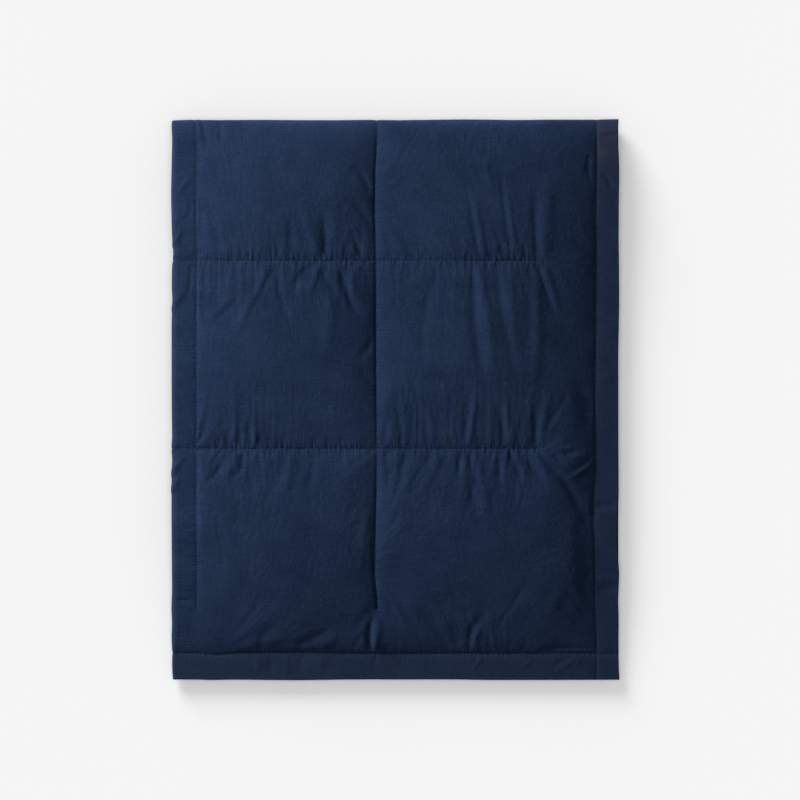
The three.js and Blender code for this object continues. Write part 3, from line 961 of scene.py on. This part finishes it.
def cover_move(grid, u, flat_v):
    """The settled cover's wrinkles between the points of its grid."""
    across, along = cover_marks()
    columns, column_shares = cubic_weights(u, across)
    rows, row_shares = cubic_weights(flat_v, along)
    move = np.zeros((len(u), 3))
    for i in range(4):
        for j in range(4):
            move += grid[rows[:, i], columns[:, j]] * (row_shares[:, i] * column_shares[:, j])[:, None]
    inside = (u > across[0]) & (u < across[-1]) & (flat_v > along[0]) & (flat_v < along[-1])
    return move * (inside * calm(u, flat_v))[:, None]


def front_surface(u, along, cover):
    """Points of the visible front, with its creases and the settled cover's wrinkles."""
    v = slipped(u, along)
    points = face_points(u, v, np.ones_like(u)) + front_directions(u, v) * fine_relief(u, v)[:, None]
    return points if cover is None else points + cover_move(cover, u, along)


# What the cloth's material reads at each point, besides its place on the flat throw: how far a seam draws the
# cloth up, how far rubbed cloth reaches, how grey the hems are made, and where a painted highlight lies where
# the side hem turns over the top fold
ROW_PULL_REACH = 0.011
COLUMN_PULL_REACH = 0.009
NEAR_SEAM_SHARPNESS = 2
WORN_REACH = 0.004
WORN_ROLL_REACH = 2 * WORN_REACH
HEM_TONE = 0.35
HEM_TONE_REACH = 0.003
FOLD_HIGHLIGHT_REACH = 0.035


def worn(u, v):
    """1 on the hems' outer edges and on the folds, where cloth rubs, and 0 in the middle."""
    rims = (np.minimum(u, WIDTH - u), np.minimum(v, LENGTH - v), np.abs(u - side_fold_middle))
    top = np.abs(v - top_fold_start - top_fold_length(u) / 2)
    return np.max([bell(rim, WORN_REACH) for rim in rims] + [bell(top, WORN_ROLL_REACH)], axis=0)


def hem_tone_and_fold_highlight(u, v):
    """Share of a greyer navy on the hems, and of a painted highlight where the side hem turns over the top
    fold.
    """
    on_hem = 1 - smooth_step(0, HEM_TONE_REACH, np.minimum(u, v) - HEM)
    # A lighter navy where the side hem turns over the top fold: a painted highlight where the roll catches
    # the light
    fold_highlight = (1 - smooth_step(0, HEM_TONE_REACH, u - HEM)) * bell(v - top_fold_start, FOLD_HIGHLIGHT_REACH)
    return np.minimum(HEM_TONE * on_hem + fold_highlight, 1)


def cloth_attributes(mesh, u, v):
    lines = line_distances(u, v)
    hem_seam = np.abs(np.minimum(u, WIDTH - u) - HEM)
    near_seam = np.abs(np.minimum(v, LENGTH - v) - HEM)
    values = {
        "row_pull": bell(np.min(lines[3:] + [NEAR_SEAM_SHARPNESS * near_seam], axis=0), ROW_PULL_REACH),
        "column_pull": bell(np.min(lines[:3] + [hem_seam], axis=0), COLUMN_PULL_REACH),
        "worn": worn(u, v),
        "hem": hem_tone_and_fold_highlight(u, v),
    }
    for name, value in values.items():
        mesh.attributes.new(name, "FLOAT", "POINT").data.foreach_set("value", value.astype(np.float32))


def folded_throw(cover):
    bm = flat_throw()
    flat = np.array([vert.co for vert in bm.verts])
    front = flat[:, 2] > 0
    u = np.where(front, gathered(flat[:, 0], (HEM, *COLUMN_LINES[:2])), flat[:, 0])
    along = np.where(front, gathered(flat[:, 1], (HEM, *ROW_LINES[:2])), flat[:, 1])
    v = slipped(u, along)
    points = np.empty((len(flat), 3))
    points[front] = front_surface(u[front], along[front], cover)
    points[~front] = face_points(u[~front], v[~front], -np.ones(np.count_nonzero(~front)))
    laid_out = bm.loops.layers.uv.new("laid_out")
    for face in bm.faces:
        face.smooth = True
        for loop in face.loops:
            loop[laid_out].uv = (u[loop.vert.index], v[loop.vert.index])
    for vert, point in zip(bm.verts, points):
        vert.co = point
    bmesh.ops.recalc_face_normals(bm, faces=bm.faces[:])
    mesh = mesh_of("folded_throw", bm)
    cloth_attributes(mesh, u, v)
    return shown("folded_throw", mesh)


# Stitches: each a small rounded bar of thread, half sunk in the cloth
STITCH_PITCH = 0.0029
STITCH_LENGTH = 0.0023
STITCH_WIDTH = 0.00065
STITCH_THICKNESS = 0.0004
STITCH_SINK = 0.00015
STITCH_TURN = 5
STITCH_SIDES = 6
STITCH_RINGS = 4
STITCH_BATCH = 40
STITCH_SEED = 5

# How far outside its seam each hem's thread lies, and how far into the top fold stitches are made
SIDE_STITCH_OFF = 0.0006
NEAR_STITCH_OFF = 0.0028
SHOWN_SHARE = 0.45


def seam_runs():
    """The lines of stitches that show from above, each as its two ends on the flat throw."""
    far = top_fold_start + FOLD_PARAMETER * SHOWN_SHARE
    row_start, column_start = HEM + ROW_LINE_GAP, HEM + COLUMN_LINE_GAP
    side_u, near_v = HEM - SIDE_STITCH_OFF, HEM - NEAR_STITCH_OFF
    runs = [((line, column_start), (line, far)) for line in COLUMN_LINES[:2]]
    runs += [((row_start, line), (side_fold_middle, line)) for line in ROW_LINES[:2]]
    runs += [((side_u, HEM), (side_u, far)), ((HEM, near_v), (COLUMN_LINES[1], near_v))]
    return runs


def stitch_frames(start, end, cover, draw):
    """Where each stitch of a run lies: a matrix that turns a ball of radius 1 into it."""
    start, end = np.array(start), np.array(end)
    run = np.linalg.norm(end - start)
    count = int(run / STITCH_PITCH)
    flat = start + (end - start) * (np.arange(count) + 0.5)[:, None] / count
    half = (end - start) / run * STITCH_PITCH / 2
    places = front_surface(*flat.T, cover)
    ahead = front_surface(*(flat + half).T, cover) - front_surface(*(flat - half).T, cover)
    ups = front_directions(flat[:, 0], slipped(*flat.T))
    size = Matrix.Diagonal((STITCH_LENGTH / 2, STITCH_WIDTH / 2, STITCH_THICKNESS / 2, 1))
    for place, direction, up in zip(places, ahead, ups):
        up = Vector(up)
        along = Vector(direction).normalized()
        along.rotate(Matrix.Rotation(math.radians(draw.uniform(-STITCH_TURN, STITCH_TURN)), 3, up))
        side = up.cross(along).normalized()
        turn = Matrix((along, side, along.cross(side))).transposed().to_4x4()
        yield Matrix.Translation(Vector(place) - up * STITCH_SINK) @ turn @ size


def stitches(cover):
    """All stitches as one mesh, made in batches, because an operator slows down as its mesh grows."""
    draw = np.random.default_rng(STITCH_SEED)
    frames = [frame for start, end in seam_runs() for frame in stitch_frames(start, end, cover, draw)]
    bm = bmesh.new()
    for first in range(0, len(frames), STITCH_BATCH):
        batch = bmesh.new()
        for matrix in frames[first:first + STITCH_BATCH]:
            bmesh.ops.create_uvsphere(
                batch, u_segments=STITCH_SIDES, v_segments=STITCH_RINGS, radius=1, matrix=matrix)
        part = mesh_of("stitch_batch", batch)
        bm.from_mesh(part)
        bpy.data.meshes.remove(part)
    for face in bm.faces:
        face.smooth = True
    return shown("stitches", mesh_of("stitches", bm))


def node_of(tree, kind, inputs=(), **settings):
    """A new node with its settings made, and each input linked or set."""
    node = tree.nodes.new(kind)
    for name, value in settings.items():
        setattr(node, name, value)
    for socket, value in dict(inputs).items():
        if isinstance(value, bpy.types.NodeSocket):
            tree.links.new(value, node.inputs[socket])
        else:
            node.inputs[socket].default_value = value
    return node


def empty_material(name):
    material = bpy.data.materials.new(name)
    material.use_nodes = True
    material.node_tree.nodes.clear()
    return material


def noise(tree, vector, scale, detail=2.0):
    inputs = {"Vector": vector, "Scale": scale, "Detail": detail}
    return node_of(tree, "ShaderNodeTexNoise", inputs).outputs[0]


def maths(tree, operation, first, second=0.0, third=0.0):
    return node_of(tree, "ShaderNodeMath", {0: first, 1: second, 2: third}, operation=operation).outputs[0]


def attribute(tree, name):
    return node_of(tree, "ShaderNodeAttribute", attribute_name=name).outputs["Fac"]


def ramp(tree, share, low, high):
    """A colour between two, each given as its position and its colour."""
    node = node_of(tree, "ShaderNodeValToRGB", {0: share})
    for stop, (position, colour) in zip(node.color_ramp.elements, (low, high)):
        stop.position, stop.color = position, colour
    return node.outputs[0]


def mixed(tree, share, first, second):
    return node_of(tree, "ShaderNodeMix", {0: share, 6: first, 7: second}, data_type="RGBA").outputs[2]


def surface(material, inputs):
    shader = node_of(material.node_tree, "ShaderNodeBsdfPrincipled", inputs)
    node_of(material.node_tree, "ShaderNodeOutputMaterial", {"Surface": shader.outputs[0]})
    return material


def bumped(tree, height, distance, under=None):
    inputs = {"Height": height, "Distance": distance, "Strength": 1.0}
    if under is not None:
        inputs["Normal"] = under
    return node_of(tree, "ShaderNodeBump", inputs).outputs[0]


# The cotton: a fine plain weave in yarns that are a little uneven. A noise runs in the direction in which its
# place is stretched least.
THREAD_PITCH = 0.00045
COTTON_NOISES = {
    # stretch across, stretch along, scale, detail
    "warp_slubs": (1.0, 0.07, 700.0, 2.0),
    "weft_slubs": (0.05, 1.0, 620.0, 2.0),
    "mottle": (1.0, 1.0, 26.0, 4.0),
    "cloud": (1.0, 1.0, 6.0, 1.0),
    "grain": (1.0, 1.0, 380.0, 3.0),
    "row_puckers": (1.0, 0.16, 230.0, 1.0),
    "column_puckers": (0.16, 1.0, 230.0, 1.0),
}

# The tone adds these shares of the noises to its start, and its range runs from dark navy to light
TONE_START = -0.2
TONE_SHARES = (("mottle", 0.35), ("slubs", 0.35), ("grain", 0.5), ("cloud", 0.25))
TONE_DARK, TONE_LIGHT = 0.55, 0.85
DARK_NAVY = (0.0082, 0.0166, 0.0385, 1)
LIGHT_NAVY = (0.0155, 0.0280, 0.0610, 1)
WORN_NAVY = (0.0220, 0.0340, 0.0640, 1)
# A greyer navy on the hems, and a lighter one painted as a highlight where the side hem turns over the top
# fold
HEM_NAVY = (0.0150, 0.0188, 0.0330, 1)
FOLD_HIGHLIGHT_NAVY = (0.0205, 0.0260, 0.0455, 1)

# The heights of the bumps, from the widest to the finest
COTTON_BUMPS = (
    ("row_pull", 0.0026),
    ("column_pull", 0.0022),
    ("slubs", 0.0004),
    ("grain", 0.0004),
    ("weave", 0.00006),
)
COTTON_ROUGHNESS = 0.75
GRAIN_ROUGHNESS = 0.14
COTTON_SPECULAR = 0.002
SHEEN_WEIGHT = 0.12
SHEEN_ROUGHNESS = 0.5
SHEEN_BLUE = (0.25, 0.42, 1.0, 1)


def cotton_reliefs(tree):
    """Every pattern of the cotton by its name, read at its place on the flat throw."""
    laid = node_of(tree, "ShaderNodeUVMap", uv_map="laid_out").outputs[0]
    place = node_of(tree, "ShaderNodeSeparateXYZ", {0: laid}).outputs
    turn = 2 * math.pi / THREAD_PITCH
    warp, weft = (maths(tree, "SINE", maths(tree, "MULTIPLY", place[axis], turn)) for axis in (0, 1))
    reliefs = {"weave": maths(tree, "MULTIPLY", warp, weft)}
    for name, (across, along, scale, detail) in COTTON_NOISES.items():
        inputs = {0: laid, 1: (across, along, 1)}
        stretched = node_of(tree, "ShaderNodeVectorMath", inputs, operation="MULTIPLY").outputs[0]
        reliefs[name] = noise(tree, stretched, scale, detail)
    reliefs["slubs"] = maths(tree, "ADD", reliefs["warp_slubs"], reliefs["weft_slubs"])
    for line in ("row", "column"):
        pull = attribute(tree, line + "_pull")
        reliefs[line + "_pull"] = maths(tree, "MULTIPLY", reliefs[line + "_puckers"], pull)
    return reliefs


def cotton_colour(tree, reliefs):
    tone = TONE_START
    for name, share in TONE_SHARES:
        tone = maths(tree, "MULTIPLY_ADD", reliefs[name], share, tone)
    navy = ramp(tree, tone, (TONE_DARK, DARK_NAVY), (TONE_LIGHT, LIGHT_NAVY))
    rubbed = maths(tree, "MULTIPLY", attribute(tree, "worn"), reliefs["grain"])
    # The hems get a greyer navy, and a painted highlight where the side hem turns over the top fold
    hem_and_highlight_share = attribute(tree, "hem")
    hem_and_highlight_navy = ramp(tree, hem_and_highlight_share, (HEM_TONE, HEM_NAVY), (1.0, FOLD_HIGHLIGHT_NAVY))
    return mixed(tree, hem_and_highlight_share, mixed(tree, rubbed, navy, WORN_NAVY), hem_and_highlight_navy)


def navy_cotton():
    material = empty_material("navy_cotton")
    tree = material.node_tree
    reliefs = cotton_reliefs(tree)
    normal = None
    for name, distance in COTTON_BUMPS:
        normal = bumped(tree, reliefs[name], distance, normal)
    return surface(material, {
        "Base Color": cotton_colour(tree, reliefs),
        "Roughness": maths(tree, "MULTIPLY_ADD", reliefs["grain"], GRAIN_ROUGHNESS, COTTON_ROUGHNESS),
        "Normal": normal,
        "Specular IOR Level": COTTON_SPECULAR,
        "Sheen Weight": SHEEN_WEIGHT,
        "Sheen Roughness": SHEEN_ROUGHNESS,
        "Sheen Tint": SHEEN_BLUE,
    })


# The sewing thread, smoother than the cotton and darker than it; the darker navy is partly painted shade
# along the seams
THREAD_NOISE = 900.0
THREAD_DARK, THREAD_LIGHT = 0.35, 0.7
# The thread's navy is darker than the cotton's, partly as painted shade in the grooves along the seams
DARK_THREAD = (0.005, 0.010, 0.024, 1)
LIGHT_THREAD = (0.012, 0.021, 0.045, 1)
THREAD_ROUGHNESS = 0.4
THREAD_UNEVENNESS = 0.2
THREAD_BUMP = 0.0001
THREAD_SPECULAR = 0.2


def navy_thread():
    material = empty_material("navy_thread")
    tree = material.node_tree
    place = node_of(tree, "ShaderNodeTexCoord").outputs["Object"]
    shade = noise(tree, place, THREAD_NOISE)
    return surface(material, {
        "Base Color": ramp(tree, shade, (THREAD_DARK, DARK_THREAD), (THREAD_LIGHT, LIGHT_THREAD)),
        "Roughness": maths(tree, "MULTIPLY_ADD", shade, THREAD_UNEVENNESS, THREAD_ROUGHNESS),
        "Normal": bumped(tree, shade, THREAD_BUMP),
        "Specular IOR Level": THREAD_SPECULAR,
    })


# The photograph's frame: a square of 800 pixels, seen from straight above
PHOTO_WIDTH = 800
METRES_PER_PIXEL = 0.0014906
MIDDLE_X_PIXEL, MIDDLE_Y_PIXEL = 395.5, 399.5
LENS = 200
SENSOR = 36
RIM_HEIGHT = 0.02


def overhead_camera():
    data = bpy.data.cameras.new("overhead_camera")
    data.lens = LENS
    data.sensor_width = SENSOR
    camera = shown("overhead_camera", data)
    across = PHOTO_WIDTH * METRES_PER_PIXEL
    height = RIM_HEIGHT + across * LENS / SENSOR
    x = (PHOTO_WIDTH / 2 - MIDDLE_X_PIXEL) * METRES_PER_PIXEL
    y = (MIDDLE_Y_PIXEL - PHOTO_WIDTH / 2) * METRES_PER_PIXEL
    camera.location = (x, y, height)
    bpy.context.scene.camera = camera


# A broad soft light from the left and the far side, close to the cloth, so that it falls off towards the
# lower right. The floor has a low sun of its own from that side and a weaker one overhead, which keep it
# even, and a white room lights both. Elevations, azimuths and angles are in degrees.
CLOTH_LIGHT_PLACE = (-2.7, 1.5, 1.67)
CLOTH_LIGHT_SIZE = 1.1
CLOTH_LIGHT_POWER = 226
FLOOR_LIGHT_ELEVATION = 22
FLOOR_LIGHT_AZIMUTH = 118
FLOOR_LIGHT_ANGLE = 30
FLOOR_LIGHT_STRENGTH = 2.8
FLOOR_FILL_ANGLE = 30
FLOOR_FILL_STRENGTH = 1.6
SUN_DISTANCE = 2
SKY_LEVEL = 0.3


def room_light():
    """A white room of even strength."""
    scene = bpy.context.scene
    world = bpy.data.worlds.new("studio_air")
    world.use_nodes = True
    background = world.node_tree.nodes["Background"]
    background.inputs["Color"].default_value = (1, 1, 1, 1)
    background.inputs["Strength"].default_value = SKY_LEVEL
    scene.world = world
    scene.view_settings.view_transform = "Standard"


def lamp(name, kind, place, only_on):
    """A lamp that looks at the middle of the stack and lights only some pieces."""
    light = shown(name, bpy.data.lights.new(name, kind))
    light.location = place
    light.rotation_euler = Vector(place).to_track_quat("Z", "Y").to_euler()
    lit = bpy.data.collections.new(name + "_lit")
    for piece in only_on:
        lit.objects.link(piece)
    light.light_linking.receiver_collection = lit
    light.visible_camera = False
    return light.data


def studio(cloth, ground):
    room_light()
    near = lamp("cloth_light", "AREA", CLOTH_LIGHT_PLACE, cloth)
    near.size = CLOTH_LIGHT_SIZE
    near.energy = CLOTH_LIGHT_POWER
    elevation, azimuth = math.radians(FLOOR_LIGHT_ELEVATION), math.radians(FLOOR_LIGHT_AZIMUTH)
    towards = Vector((
        math.cos(azimuth) * math.cos(elevation), math.sin(azimuth) * math.cos(elevation), math.sin(elevation),
    ))
    even = lamp("floor_light", "SUN", towards * SUN_DISTANCE, (ground,))
    even.angle = math.radians(FLOOR_LIGHT_ANGLE)
    even.energy = FLOOR_LIGHT_STRENGTH
    fill = lamp("floor_fill", "SUN", (0, 0, SUN_DISTANCE), (ground,))
    fill.angle = math.radians(FLOOR_FILL_ANGLE)
    fill.energy = FLOOR_FILL_STRENGTH


FLOOR_SIZE = 16.0
FLOOR_GAP = 0.0002
PALE_PAPER = (0.8, 0.8, 0.8, 1)
PAPER_ROUGHNESS = 0.9


def floor():
    """A plain pale floor, just under the throw."""
    bm = bmesh.new()
    bmesh.ops.create_grid(bm, x_segments=1, y_segments=1, size=FLOOR_SIZE / 2)
    ground = shown("pale_floor", mesh_of("pale_floor", bm))
    ground.location.z = node_low.z - FLOOR_GAP
    material = bpy.data.materials.new("pale_paper")
    material.use_nodes = True
    shader = material.node_tree.nodes["Principled BSDF"]
    shader.inputs["Base Color"].default_value = PALE_PAPER
    shader.inputs["Roughness"].default_value = PAPER_ROUGHNESS
    ground.data.materials.append(material)
    return ground


overhead_camera()
cover = settled_cover()
throw = folded_throw(cover)
throw.data.materials.append(navy_cotton())
thread = stitches(cover)
thread.data.materials.append(navy_thread())
studio((throw, thread), floor())
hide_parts(NODE)
for piece in (throw, thread):
    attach(piece, "root")
